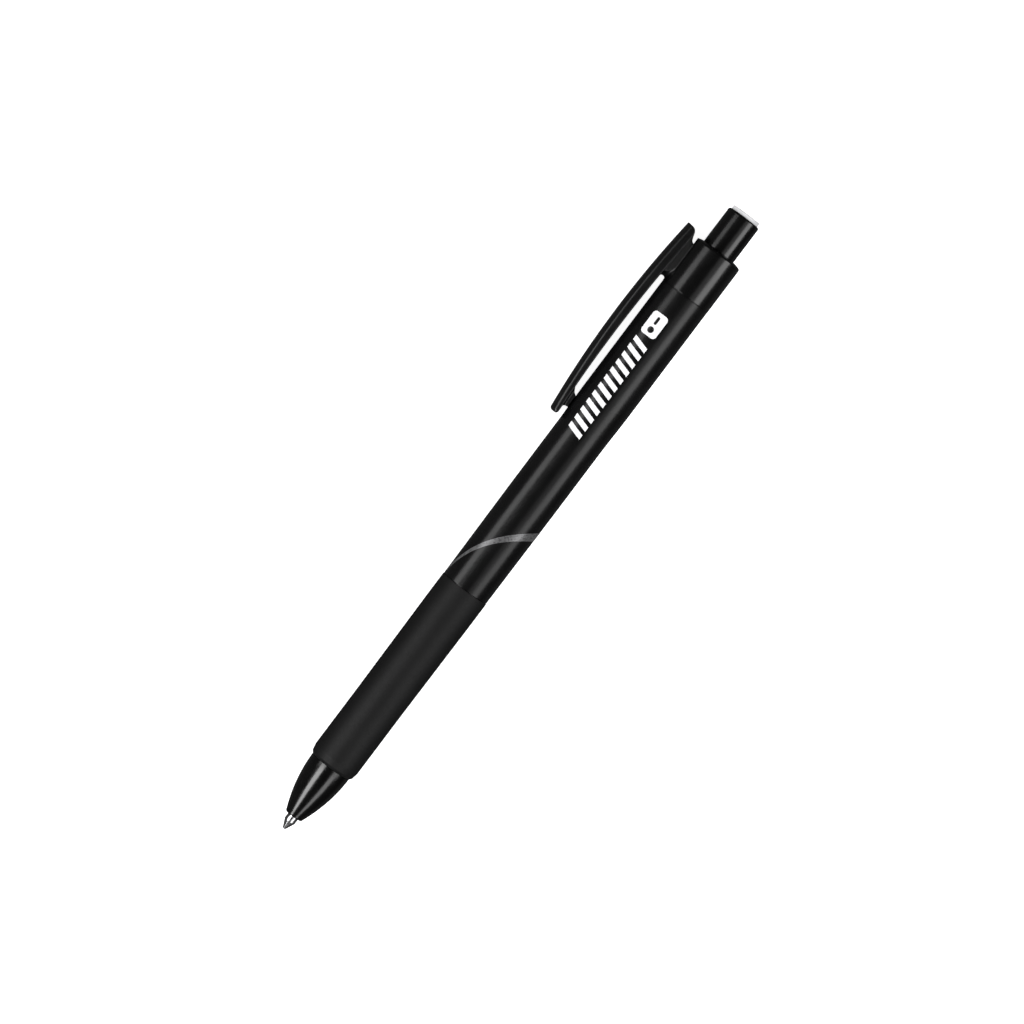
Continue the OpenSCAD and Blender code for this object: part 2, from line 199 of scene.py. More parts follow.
def turned(outline, shape=None, segments=SEGMENTS):
    """Mesh of a closed (z, r) outline turned about the pen's axis. shape(z, r, turn) may change r."""
    bm = bmesh.new()
    turns = [2 * math.pi * k / segments for k in range(segments)]
    rings = []
    for z, r in supported(outline):
        if r < 1e-6:
            rings.append([bm.verts.new(place(z))] * segments)
            continue
        radii = [shape(z, r, turn) if shape else r for turn in turns]
        rings.append([
            bm.verts.new(place(z, at * math.cos(turn), at * math.sin(turn)))
            for at, turn in zip(radii, turns)
        ])
    for ring, following in zip(rings, rings[1:] + rings[:1]):
        for k in range(segments):
            corners = dict.fromkeys((ring[k], ring[k - 1], following[k - 1], following[k]))
            if len(corners) > 2:
                bm.faces.new(corners)
    return mesh_of(bm, "turned")


def coil(centre_r, wire_r, z0, z1, turns, steps, sides, taper=0, end_r=0):
    """Mesh of a round-wire coil between two heights, with close end turns like the CAD's."""
    close = 2.2 * wire_r
    pitch = (z1 - z0 - 2 * wire_r - 2 * close) / (turns - 2)
    bm = bmesh.new()
    rings = []
    for k in range(turns * steps + 1):
        n = k / steps
        z = z0 + wire_r + min(n, 1) * close + min(max(n - 1, 0), turns - 2) * pitch
        z += max(n - turns + 1, 0) * close
        narrowing = max(0, 1 - n / taper) if taper else 0
        centre = centre_r - (centre_r - end_r) * narrowing
        ring = []
        for s in range(sides):
            q = 2 * math.pi * s / sides
            r = centre + wire_r * math.cos(q)
            turn = 2 * math.pi * n
            ring.append(bm.verts.new(
                place(z + wire_r * math.sin(q), r * math.cos(turn), r * math.sin(turn))
            ))
        rings.append(ring)
    for ring, following in zip(rings, rings[1:]):
        for s in range(sides):
            bm.faces.new((ring[s - 1], ring[s], following[s], following[s - 1]))
    bm.faces.new(rings[0])
    bm.faces.new(reversed(rings[-1]))
    return mesh_of(bm, "coil")


# ------------------------------------------------------------------ distance fields, for the clip
def smooth_min(a, b, k):
    """Smaller of two distances, blended over k so that an inside corner gets a fillet."""
    h = np.maximum(k - np.abs(a - b), 0) / k
    return np.minimum(a, b) - h * h * k / 4


def smooth_max(a, b, k):
    """Larger of two distances, blended over k so that an edge is rounded."""
    return -smooth_min(-a, -b, k)


def ramp(x, x0, x1):
    """Smooth step from 0 at x0 to 1 at x1."""
    t = np.clip((x - x0) / (x1 - x0), 0, 1)
    return t * t * (3 - 2 * t)


def outline_distance(points, x, y):
    """Distance to a closed outline, negative inside it."""
    nearest = np.full(np.broadcast(x, y).shape, 1e9)
    inside = np.zeros(nearest.shape, bool)
    for (x0, y0), (x1, y1) in zip(points, points[1:] + points[:1]):
        ex, ey = x1 - x0, y1 - y0
        wx, wy = x - x0, y - y0
        t = np.clip((wx * ex + wy * ey) / (ex * ex + ey * ey), 0, 1)
        nearest = np.minimum(nearest, (wx - ex * t) ** 2 + (wy - ey * t) ** 2)
        if ey:
            inside ^= ((y0 > y) != (y1 > y)) & (x < x0 + ex * wy / ey)
    return np.where(inside, -1, 1) * np.sqrt(nearest)


def flowing(points, steps=8):
    """Smooth curve through the points (Catmull-Rom)."""
    padded = [points[0], *points, points[-1]]
    result = []
    for p0, p1, p2, p3 in zip(padded, padded[1:], padded[2:], padded[3:]):
        for k in range(steps):
            t = k / steps
            result.append(tuple(
                (2 * q1 + (q2 - q0) * t + (2 * q0 - 5 * q1 + 4 * q2 - q3) * t * t
                 + (3 * q1 - q0 - 3 * q2 + q3) * t ** 3) / 2
                for q0, q1, q2, q3 in zip(p0, p1, p2, p3)
            ))
    return result + [points[-1]]


def skin(field, low, high, pitch):
    """Mesh of a distance field's zero level between two corners of a box (surface nets)."""
    axes = [np.arange(lo, hi, pitch) for lo, hi in zip(low, high)]
    grid = field(*np.meshgrid(*axes, indexing="ij", sparse=True))
    cells = np.array(grid.shape) - 1
    corner_sum = np.zeros((cells.prod(), 3))
    corner_count = np.zeros(cells.prod())
    quads = []
    for axis in range(3):
        u, v = (axis + 1) % 3, (axis + 2) % 3
        first = np.take(grid, range(grid.shape[axis] - 1), axis)
        second = np.take(grid, range(1, grid.shape[axis]), axis)
        edge = np.argwhere((first < 0) != (second < 0))
        f, s = first[tuple(edge.T)], second[tuple(edge.T)]
        crossing = edge.astype(float)
        crossing[:, axis] += f / (f - s)
        quad = []
        for du, dv in ((0, 0), (1, 0), (1, 1), (0, 1)):
            cell = edge.copy()
            cell[:, u] -= du
            cell[:, v] -= dv
            index = np.ravel_multi_index(cell.T, cells)
            quad.append(index)
            corner_count += np.bincount(index, minlength=len(corner_count))
            for k in range(3):
                corner_sum[:, k] += np.bincount(index, crossing[:, k], len(corner_count))
        quad = np.stack(quad, 1)
        quad[f > 0] = quad[f > 0][:, ::-1]
        quads.append(quad)
    used, faces = np.unique(np.concatenate(quads), return_inverse=True)
    points = corner_sum[used] / corner_count[used][:, None] * pitch + [a[0] for a in axes]
    for _ in range(3):  # onto the exact surface
        value = field(*points.T)
        slope = np.stack([
            (field(*(points + nudge).T) - field(*(points - nudge).T)) / (2 * nudge.sum())
            for nudge in np.eye(3) * 0.01
        ], 1)
        move = slope * (value / np.maximum((slope ** 2).sum(1), 0.1))[:, None]
        points -= np.clip(move, -pitch / 2, pitch / 2)
    mesh = bpy.data.meshes.new("skin")
    mesh.from_pydata([place(*p) for p in points], [], faces.reshape(-1, 4).tolist())
    mesh.validate()
    return mesh


# ------------------------------------------------------------------ materials
def new_material(name, colour, roughness, **settings):
    """Principled material with plain values on its sockets. Returns it with its node helper."""
    material = bpy.data.materials.new(name)
    material.use_nodes = True
    tree = material.node_tree
    shader = tree.nodes["Principled BSDF"]
    shader.inputs["Base Color"].default_value = (*colour, 1)
    shader.inputs["Roughness"].default_value = roughness
    for socket, value in settings.items():
        shader.inputs[socket.replace("_", " ")].default_value = value

    def node(kind, target=None, **inputs):
        """New node. An input is a number, a colour or another node's output; target is linked to."""
        made = tree.nodes.new(kind)
        for key, value in inputs.items():
            if hasattr(made, key):
                setattr(made, key, value)
                continue
            numbered = key[1:].isdigit()
            socket = made.inputs[int(key[1:]) if numbered else key.replace("_", " ")]
            if isinstance(value, bpy.types.NodeSocket):
                tree.links.new(value, socket)
            else:
                socket.default_value = value
        if target:
            tree.links.new(made.outputs[0], shader.inputs[target])
        return made

    return material, node


def stretched(node, along, across):
    """Object coordinates scaled along and across the pen, as repeats per metre."""
    coordinates = node("ShaderNodeTexCoord")
    scaled = node("ShaderNodeMapping", Vector=coordinates.outputs["Object"])
    scaled.inputs["Scale"].default_value = (along, across, across)
    return scaled.outputs["Vector"]


def spread(node, source, low, high, target=None, start=0.35, stop=0.65):
    """A 0 to 1 pattern mapped to a range of values."""
    made = node("ShaderNodeMapRange", target, Value=source)
    for socket, value in zip(("From Min", "From Max", "To Min", "To Max"), (start, stop, low, high)):
        made.inputs[socket].default_value = value
    return made.outputs[0]


def tinted(node, source, low, high):
    """A 0 to 1 pattern mapped between two base colours."""
    made = node("ShaderNodeMix", data_type="RGBA")
    tree = made.id_data
    tree.links.new(source, made.inputs["Factor"])
    made.inputs[6].default_value = (*low, 1)
    made.inputs[7].default_value = (*high, 1)
    tree.links.new(made.outputs[2], tree.nodes["Principled BSDF"].inputs["Base Color"])


def bumped(node, *layers):
    """Bump from (pattern output, depth in mm) layers, one on top of the other."""
    below = None
    for source, depth in layers:
        made = node("ShaderNodeBump", Height=source, Strength=1.0, Distance=depth * MM)
        tree = made.id_data
        if below:
            tree.links.new(below, made.inputs["Normal"])
        below = made.outputs["Normal"]
    tree.links.new(below, tree.nodes["Principled BSDF"].inputs["Normal"])


def noise(node, where, detail=2.0, rough=0.5):
    """0 to 1 noise with one feature in each unit of its coordinates."""
    made = node("ShaderNodeTexNoise", Vector=where, Scale=1.0, Detail=detail, Roughness=rough)
    return made.outputs[0]


def moulded_plastic(name, dark, light, roughness, polish, **settings):
    """Moulded plastic: faint smudges, hairline scratches along the pen and a slight waviness."""
    material, node = new_material(name, dark, roughness, **settings)
    smudges = noise(node, stretched(node, 160, 320), detail=4, rough=0.6)
    hairlines = noise(node, stretched(node, 500, 16000), detail=3, rough=0.7)
    ripple = noise(node, stretched(node, 350, 700), detail=1)
    tinted(node, spread(node, smudges, 0, 1), dark, light)
    worn = node("ShaderNodeMath", operation="MULTIPLY", _0=spread(node, smudges, 0.4, 1),
                _1=spread(node, hairlines, 0.6, 1.4))
    spread(node, worn.outputs[0], roughness, roughness + polish, "Roughness", 0, 1)
    bumped(node, (ripple, 0.006), (hairlines, 0.0004))
    return material


def rubber(name, dark, light):
    """Matte rubber: a fine even grain, with dust caught in it here and there."""
    material, node = new_material(name, dark, 0.5, Specular_IOR_Level=0.21)
    grain = noise(node, stretched(node, 7000, 7000), detail=3, rough=0.6)
    patches = noise(node, stretched(node, 110, 220), detail=3, rough=0.55)
    tinted(node, spread(node, patches, 0, 1), dark, light)
    spread(node, grain, 0.48, 0.66, "Roughness")
    bumped(node, (patches, 0.01), (grain, 0.01))
    return material


def printed_ink(name, dark, light, roughness, metallic=0.0):
    """Pad-printed ink: a thin film with a slightly uneven face."""
    material, node = new_material(name, dark, roughness, Metallic=metallic)
    cover = noise(node, stretched(node, 2200, 2200), detail=3)
    tinted(node, spread(node, cover, 0, 1), dark, light)
    spread(node, cover, roughness, roughness + 0.12, "Roughness")
    bumped(node, (cover, 0.001))
    return material


def turned_steel(name, dark, light, roughness):
    """Metal turned on a lathe: fine rings round the axis."""
    material, node = new_material(name, dark, roughness, Metallic=1.0, Anisotropic=0.5)
    rings = noise(node, stretched(node, 26000, 60), detail=2, rough=0.6)
    stains = noise(node, stretched(node, 500, 500), detail=3)
    tinted(node, spread(node, stains, 0, 1), dark, light)
    spread(node, rings, roughness, roughness + 0.14, "Roughness")
    bumped(node, (rings, 0.0012))
    return material


def drawn_wire(name, dark, light, roughness):
    """Spring wire: dull drawing marks and a few darker patches."""
    material, node = new_material(name, dark, roughness, Metallic=1.0)
    marks = noise(node, stretched(node, 9000, 9000), detail=4, rough=0.7)
    patches = noise(node, stretched(node, 700, 700), detail=3)
    tinted(node, spread(node, patches, 0, 1), dark, light)
    spread(node, marks, roughness, roughness + 0.2, "Roughness")
    bumped(node, (marks, 0.001))
    return material


def soft_plastic(name, dark, light, roughness, **settings):
    """Uncoloured or clear plastic and gels: cloudy patches and a faint flow pattern."""
    material, node = new_material(name, dark, roughness, **settings)
    clouds = noise(node, stretched(node, 250, 500), detail=3, rough=0.55)
    flow = noise(node, stretched(node, 900, 4000), detail=2)
    tinted(node, spread(node, clouds, 0, 1), dark, light)
    spread(node, flow, roughness, roughness + 0.12, "Roughness")
    bumped(node, (flow, 0.001))
    return material


def grey(value):
    """Neutral colour, very slightly cool."""
    return (value, value, value * 1.02)


nose_black = moulded_plastic("nose_black", grey(0.0010), grey(0.0018), 0.13, 0.08)
collar_black = moulded_plastic("collar_black", grey(0.0019), grey(0.0029), 0.16, 0.07,
                               Specular_IOR_Level=0.46)
clip_black = moulded_plastic("clip_black", grey(0.0032), grey(0.0044), 0.24, 0.09,
                             Specular_IOR_Level=0.42)
button_black = moulded_plastic("button_black", grey(0.0014), grey(0.0022), 0.14, 0.08)
barrel_black = moulded_plastic("barrel_black", grey(0.0032), grey(0.0044), 0.20, 0.07,
                               Specular_IOR_Level=0.28)
grip_black = rubber("grip_black", grey(0.0034), grey(0.0048))
plug_grey = moulded_plastic("plug_grey", grey(0.66), grey(0.74), 0.30, 0.12)
tip_steel = turned_steel("tip_steel", grey(0.55), grey(0.68), 0.14)
wire_steel = drawn_wire("wire_steel", grey(0.45), grey(0.62), 0.22)
ball_carbide = turned_steel("ball_carbide", grey(0.38), grey(0.46), 0.08)
natural = soft_plastic("natural_plastic", (0.72, 0.72, 0.67), (0.82, 0.82, 0.78), 0.32,
                       Subsurface_Weight=0.15, Subsurface_Scale=0.001)
clear_tube = soft_plastic("clear_tube", (0.84, 0.87, 0.88), (0.90, 0.92, 0.93), 0.10,
                          Transmission_Weight=0.85)
gel_ink = soft_plastic("gel_ink", (0.004, 0.004, 0.006), (0.008, 0.008, 0.011), 0.06)
grease = soft_plastic("follower_grease", (0.80, 0.72, 0.42), (0.86, 0.80, 0.55), 0.14,
                      Transmission_Weight=0.5)
white_ink = printed_ink("white_ink", grey(0.90), grey(0.94), 0.34)
silver_ink = printed_ink("silver_ink", grey(0.115), grey(0.145), 0.24, 0.4)

# ------------------------------------------------------------------ nose cone
NOSE_LIP = 0.42
NOSE_STEPS = 40
NOSE_SEAM_EDGE = 0.06
TIP_HOLE_R = TIP_R + 0.07
SPRING_SEAT_Z = NOSE_Z + 4.5
STUB_R = 3.5
STUB_LEN = 5.0
STUB_STEPS = 60
THREAD_START_Z = GRIP_Z + 0.6
THREAD_END_Z = GRIP_Z + STUB_LEN - 0.4
THREAD_PITCH = 0.8
THREAD_DEPTH = 0.22
THREAD_RUN_OUT = 0.5
STUB_BORE_R = 2.7
SPRING_BORE_R = 2.4
SPRING_LEDGE_R = 2.0


def nose_r(z):
    """Radius of the nose cone's parabolic side."""
    left = 1 - (z - NOSE_Z) / (GRIP_Z - NOSE_Z)
    return NOSE_FRONT_R + (NOSE_REAR_R - NOSE_FRONT_R) * (1 - left * left)


def stub_thread(z, r, turn):
    """Cuts a screw thread into the stub that goes into the barrel."""
    if r < STUB_R - 0.01 or not THREAD_START_Z < z < THREAD_END_Z:
        return r
    phase = (z / THREAD_PITCH - turn / (2 * math.pi)) % 1
    run_out = min(1, (z - THREAD_START_Z) / THREAD_RUN_OUT, (THREAD_END_Z - z) / THREAD_RUN_OUT)
    return r - THREAD_DEPTH * run_out * (0.5 - 0.5 * math.cos(2 * math.pi * phase))


def nose_cone():
    """Polished cone with a parabolic side, a rounded lip and the screwed stub behind it."""
    lip_z = NOSE_Z + NOSE_LIP
    lip_r = nose_r(lip_z)
    lip_turns = [math.radians(90 * k / 8) for k in range(9)]
    lip = [
        (lip_z - NOSE_LIP * math.cos(t), lip_r - 1.35 * NOSE_LIP * (1 - math.sin(t)))
        for t in lip_turns
    ]
    side_len = GRIP_Z - NOSE_SEAM_EDGE - lip_z
    side = [
        (z, nose_r(z))
        for z in (lip_z + side_len * k / NOSE_STEPS for k in range(1, NOSE_STEPS + 1))
    ]
    stub = [(GRIP_Z + STUB_LEN * k / STUB_STEPS, STUB_R) for k in range(STUB_STEPS + 1)]
    outline = [
        (NOSE_Z + 0.12, TIP_HOLE_R), (NOSE_Z + 0.03, TIP_HOLE_R + 0.04),
        *lip, *side, (GRIP_Z, NOSE_REAR_R - NOSE_SEAM_EDGE), *stub,
        (GRIP_Z + STUB_LEN, STUB_BORE_R), (GRIP_Z - 1.5, STUB_BORE_R), (GRIP_Z - 2.5, SPRING_BORE_R),
        (SPRING_SEAT_Z, SPRING_BORE_R), (SPRING_SEAT_Z, SPRING_LEDGE_R), (NOSE_Z + 3, TIP_HOLE_R),
    ]
    return finish_piece(turned(outline, stub_thread), "nose_cone_shell", "pen",
                        nose_black, ["nose_cone"])


# ------------------------------------------------------------------ rubber grip
def rubber_grip():
    """Matte sleeve with a bevelled front, widening slowly to the rear."""
    front_r = 4.9
    bore_r = NECK_R + 0.02
    outline = rounded([
        (GRIP_Z, bore_r, 0),
        (GRIP_Z, front_r - 0.62, 0.10),
        (GRIP_Z + 0.5, front_r - 0.24, 0.25),
        (GRIP_Z + 1.75, front_r, 0.35),
        (GRIP_Z + 15, front_r, 0),
        (BARREL_Z - 5, GRIP_R, 0),
        (BARREL_Z, GRIP_R, 0.08),
        (BARREL_Z, bore_r, 0),
    ])
    return finish_piece(turned(outline), "rubber_grip_sleeve", "pen",
                        grip_black, ["rubber_grip"])


# ------------------------------------------------------------------ barrel
BARREL_FRONT_R = 4.95
BARREL_MID_R = 5.05
TAPER_Z = BARREL_Z + 20.7
LAND_END_Z = BARREL_Z + 36.9
FULL_R_Z = LAND_END_Z + 6.5
TAPER_BLEND = 20  # radius of the soft bends at both ends of the rear taper
SEAM_EDGE = 0.10
SOCKET_R = 3.55
SOCKET_END_Z = GRIP_Z + 5.4
NECK_BORE_R = 3.25
REAR_BORE_R = 3.6


def barrel_r(z):
    """Radius of the barrel's outside."""
    return float(np.interp(z, [BARREL_Z, TAPER_Z, LAND_END_Z, FULL_R_Z],
                           [BARREL_FRONT_R, BARREL_MID_R, BARREL_MID_R, BARREL_R]))


def barrel():
    """Long glossy tube with fine rounded edges at both seams."""
    outline = rounded([
        (GRIP_Z, SOCKET_R, 0),
        (GRIP_Z, NECK_R, 0),
        (BARREL_Z, NECK_R, 0),
        (BARREL_Z, BARREL_FRONT_R, SEAM_EDGE),
        (TAPER_Z, BARREL_MID_R, 0),
        (LAND_END_Z, BARREL_MID_R, TAPER_BLEND),
        (FULL_R_Z, BARREL_R, TAPER_BLEND),
        (COLLAR_Z, BARREL_R, SEAM_EDGE),
        (COLLAR_Z, SLEEVE_R, 0),
        (SLEEVE_Z, SLEEVE_R, 0),
        (SLEEVE_Z, REAR_BORE_R, 0),
        (BARREL_Z + 4.5, REAR_BORE_R, 0),
        (BARREL_Z + 2.5, NECK_BORE_R, 0),
        (SOCKET_END_Z, NECK_BORE_R, 0),
        (SOCKET_END_Z, SOCKET_R, 0),
    ])
    return finish_piece(turned(outline), "barrel_tube", "pen", barrel_black, ["barrel"])


# ------------------------------------------------------------------ collar
RELIEF_Z = RIM_Z - 1.7
RELIEF_FLOOR = 4.65
RELIEF_ROUND = 0.45
COLLAR_BORE_R = BUTTON_R + 0.1
COLLAR_TOP_T = 1.6


def collar_relief(z, r, turn):
    """Flat cut under the clip's top end, rounded over at the rim."""
    if r < SLEEVE_R + 0.01 or z < RELIEF_Z or math.cos(turn) <= 0:
        return r
    over = max(0, z - (RIM_Z - RELIEF_ROUND)) / RELIEF_ROUND
    floor = RELIEF_FLOOR - RELIEF_ROUND * (1 - math.sqrt(max(0, 1 - over * over)))
    return min(r, max(floor / math.cos(turn), BUTTON_R + 0.4))


def top_collar():
    """Polished ring behind the seam, with the hole that the button slides in."""
    rim = rounded([
        (COLLAR_Z, SLEEVE_R, 0),
        (COLLAR_Z, COLLAR_R, 0.12),
        (RIM_Z - 0.34, COLLAR_R, 0.55),
        (RIM_Z, 3.85, 0.25),
        (RIM_Z, COLLAR_BORE_R, 0.08),
        (RIM_Z - COLLAR_TOP_T, COLLAR_BORE_R, 0),
        (RIM_Z - COLLAR_TOP_T, SLEEVE_R, 0),
    ], 14)
    relief_rings = [(RELIEF_Z - 0.01, COLLAR_R), (RELIEF_Z + 0.01, COLLAR_R)]
    at = next(i for i, (z, r) in enumerate(rim) if z > RELIEF_Z)
    outline = rim[:at] + relief_rings + rim[at:]
    return finish_piece(turned(outline, collar_relief), "top_collar_ring", "pen",
                        collar_black, ["top_collar"])


# ------------------------------------------------------------------ clip
CLIP_W = 5.2
CROWN_H = 1.05
CROWN_R = (CROWN_H ** 2 + CLIP_W ** 2 / 4) / (2 * CROWN_H)
CREST = 8.98
ARCH_R = 201.5
ARCH_Z = COLLAR_Z - 9.5
CLIP_END_Z = ARCH_Z - 22.5
UNDER_R = ARCH_R + 90
UNDER_Z = ARCH_Z - 4.1
UNDER_CREST = CREST - 2.47
CLIP_ROOT_Z = COLLAR_Z + 0.9
CLIP_TOP_Z = RIM_Z + 1.2
CLIP_END_ROUND = 0.7
WEB_W = 5.0
WEB_NARROWING = 0.25
WEB_FOOT_A, WEB_TOP_A = 4.4, 6.4  # heights between which the web narrows
WEB_DEPTH = 1.3  # from the clip's crest down to the top of the web
NUB_W = 4.0
NUB_Z = CLIP_END_Z + 2
NUB_REAR_Z = NUB_Z + 2.8
EDGE = 0.26
WEB_EDGE = 0.18
NUB_BLEND = 0.6
CLIP_PITCH = 0.11  # of the grid that the clip's skin is drawn on
TOP_CURVE = flowing([
    (RELIEF_Z, 4.4), (RELIEF_Z + 0.05, 4.75), (RELIEF_Z + 0.35, 5.15), (RELIEF_Z + 0.95, 5.42),
    (RELIEF_Z + 1.85, 5.72), (CLIP_TOP_Z - 0.48, 6.2), (CLIP_TOP_Z - 0.25, 7.0),
    (CLIP_TOP_Z - 0.06, 8.1), (CLIP_TOP_Z, 9.6),
])
TOP_OUTLINE = [(CLIP_END_Z - 5, 9.6), (CLIP_END_Z - 5, 3.0), (RELIEF_Z, 3.0), *TOP_CURVE]
NUB_OUTLINE = [
    (NUB_Z + 0.25, barrel_r(NUB_Z + 0.25)), (NUB_REAR_Z, barrel_r(NUB_REAR_Z)),
    (NUB_REAR_Z + 0.35, BARREL_R + 0.5), (NUB_REAR_Z + 0.9, BARREL_R + 1),
    (NUB_REAR_Z + 0.9, BARREL_R + 2), (NUB_Z + 0.1, BARREL_R + 2),
]


def clip_field(z, a, b):
    """Distance to the clip: an arched, crowned strip with the nub under it and the web behind."""
    arch = np.hypot(z - ARCH_Z, a + ARCH_R - CREST)
    crown = np.hypot(arch - ARCH_R + CROWN_R, b) - CROWN_R
    under = UNDER_R - np.hypot(z - UNDER_Z, a + UNDER_R - UNDER_CREST)
    strip = smooth_max(under, np.abs(b) - CLIP_W / 2, EDGE)
    strip = smooth_max(strip, crown, EDGE)
    strip = smooth_max(strip, CLIP_END_Z - z, CLIP_END_ROUND)
    nub = smooth_max(outline_distance(NUB_OUTLINE, z, a), np.abs(b) - NUB_W / 2, EDGE)
    arm = smooth_min(strip, nub, NUB_BLEND)
    half_web = WEB_W / 2 - WEB_NARROWING * ramp(a, WEB_FOOT_A, WEB_TOP_A)
    front_depth = 2.2 - 1.7 * ramp(a, 4.4, 6.6)
    web_front = CLIP_ROOT_Z - 0.2 + front_depth * (b / half_web) ** 2 - z
    web_front = web_front / np.hypot(1, 2 * front_depth * b / half_web ** 2)
    web = smooth_max(web_front, np.abs(b) - half_web, WEB_EDGE)
    web = np.maximum(web, arch - ARCH_R + WEB_DEPTH)
    behind = ramp(z, CLIP_ROOT_Z + 0.6, CLIP_ROOT_Z + 2.6)
    body = smooth_min(arm, web, 0.42 - 0.2 * behind)
    ring = np.hypot(a, b) - (COLLAR_R - 0.012)
    near = body - 0.8
    body = smooth_min(body, ring + 50 * (z < COLLAR_Z + 0.15), 0.5 - 0.38 * behind)
    body = np.maximum(body, near)
    body = smooth_max(body, outline_distance(TOP_OUTLINE, z, a), EDGE)
    return np.maximum(body, COLLAR_R - 0.35 - np.hypot(a, b))


def pocket_clip():
    """Clip with its web, baked into place and left on no body."""
    margin = 3 * CLIP_PITCH
    low = (CLIP_END_Z - margin, 2.9, -3.9)
    high = (CLIP_TOP_Z + 2 * margin, CREST + margin, 3.9)
    mesh = skin(clip_field, low, high, CLIP_PITCH)
    piece = finish_piece(mesh, "pocket_clip_arm", None, clip_black, ["pocket_clip"])
    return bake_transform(piece)


# ------------------------------------------------------------------ button
PLUG_SEAT = 1  # depth of the plug's seat in the button's end


def push_button():
    """Polished sleeve over the plunger's stem, with the flange that keeps it in the collar."""
    flange_t = 1.4
    seat_z = BUTTON_END_Z - PLUG_SEAT
    seat_r = PLUG_R + 0.02
    outline = rounded([
        (FLANGE_Z, STEM_R, 0),
        (FLANGE_Z, BUTTON_FLANGE_R, 0.2),
        (FLANGE_Z + flange_t, BUTTON_FLANGE_R, 0.1),
        (FLANGE_Z + flange_t, BUTTON_R, 0),
        (BUTTON_END_Z, BUTTON_R, 0.42),
        (BUTTON_END_Z, seat_r, 0),
        (seat_z, seat_r, 0),
        (seat_z, STEM_R, 0),
    ], 10)
    return finish_piece(turned(outline), "push_button_sleeve", "button",
                        button_black, ["push_button"])


def button_end_plug():
    """Pale plug, very slightly hollow in the middle, as such mouldings are."""
    dish_r = 1.5
    dish = 0.05
    plug_z = front("button_end_plug")
    seat_z = BUTTON_END_Z - PLUG_SEAT
    outline = rounded([
        (plug_z, 0, 0),
        (plug_z, STEM_R - 0.05, 0.25),
        (seat_z, STEM_R - 0.02, 0),
        (seat_z, PLUG_R, 0),
        (PEN_LEN, PLUG_R, 0.16),
        (PEN_LEN, dish_r, 0.6),
        (PEN_LEN - dish, dish_r - 0.35, 0.6),
        (PEN_LEN - dish, 0, 0),
    ])
    return finish_piece(turned(outline), "button_end_cap", "button",
                        plug_grey, ["button_end_plug"])


# ------------------------------------------------------------------ refill parts that show
def metal_tip():
    """Turned steel tip: cone, shoulder and the crimped rim round the ball."""
    holder_z = front("tip_holder")
    rear_z = rear("metal_tip")
    stem_r = 0.95
    ink_hole_r = 0.18
    spring_hole_r = 0.55
    spring_hole_end_z = 8.6
    inlet_r = 0.35
    rim_z = 0.13
    outline = rounded([
        (0.32, ink_hole_r, 0),
        (0.32, 0.245, 0),
        (rim_z, 0.262, 0),
        (rim_z, 0.33, 0.04),
        (0.75, 0.62, 0.3),
        (1.9, TIP_R, 0.25),
        (holder_z, TIP_R, 0.04),
        (holder_z, stem_r, 0),
        (rear_z, stem_r, 0.05),
        (rear_z, inlet_r, 0),
        (spring_hole_end_z, inlet_r, 0),
        (spring_hole_end_z, spring_hole_r, 0),
        (1.5, spring_hole_r, 0),
        (0.6, ink_hole_r, 0),
    ], 6)
    return finish_piece(turned(outline), "metal_tip_turned", "refill",
                        tip_steel, ["metal_tip"])


def writing_ball():
    """Polished ball in the tip's rim."""
    ball_r = radius("writing_ball")
    steps = 48
    half_circle = [
        (ball_r - ball_r * math.cos(math.pi * k / steps), ball_r * math.sin(math.pi * k / steps))
        for k in range(steps + 1)
    ]
    return finish_piece(turned(half_circle, segments=96), "writing_ball_round", "ball",
                        ball_carbide, ["writing_ball"])


def return_spring():
    """Spring round the tip holder, from the nose to the refill, baked into place and left on no body.
    """
    z0, z1 = front("return_spring"), rear("return_spring")
    mesh = coil(2.05, 0.2, z0, z1, turns=10, steps=48, sides=12)
    piece = finish_piece(mesh, "return_spring_coil", None, wire_steel, ["return_spring"])
    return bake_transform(piece)


def ball_spring():
    """Fine spring inside the tip, narrowing to the straight end that pushes on the ball."""
    mesh = coil(0.38, 0.05, front("ball_spring"), rear("ball_spring"),
                turns=12, steps=24, sides=8, taper=2, end_r=0.09)
    return finish_piece(mesh, "ball_spring_coil", "refill", wire_steel, ["ball_spring"])


# ------------------------------------------------------------------ printing on the barrel
INK_FILM = 0.012
INK_SUNK = 0.01
WRAP_STEP = 2.0  # degrees between the bends of a film that follows the barrel


def in_fixed_order(mesh):
    """The same mesh with its vertices and faces sorted, since bmesh's cuts leave them in any order."""
    name = mesh.name
    points = [tuple(v.co) for v in mesh.vertices]
    order = sorted(range(len(points)), key=lambda i: [round(c, 7) for c in points[i]])
    rank = {old: new for new, old in enumerate(order)}
    faces = []
    for polygon in mesh.polygons:
        corners = [rank[i] for i in polygon.vertices]
        first = corners.index(min(corners))
        faces.append(corners[first:] + corners[:first])
    bpy.data.meshes.remove(mesh)
    made = bpy.data.meshes.new(name)
    made.from_pydata([points[i] for i in order], [], sorted(faces))
    return made


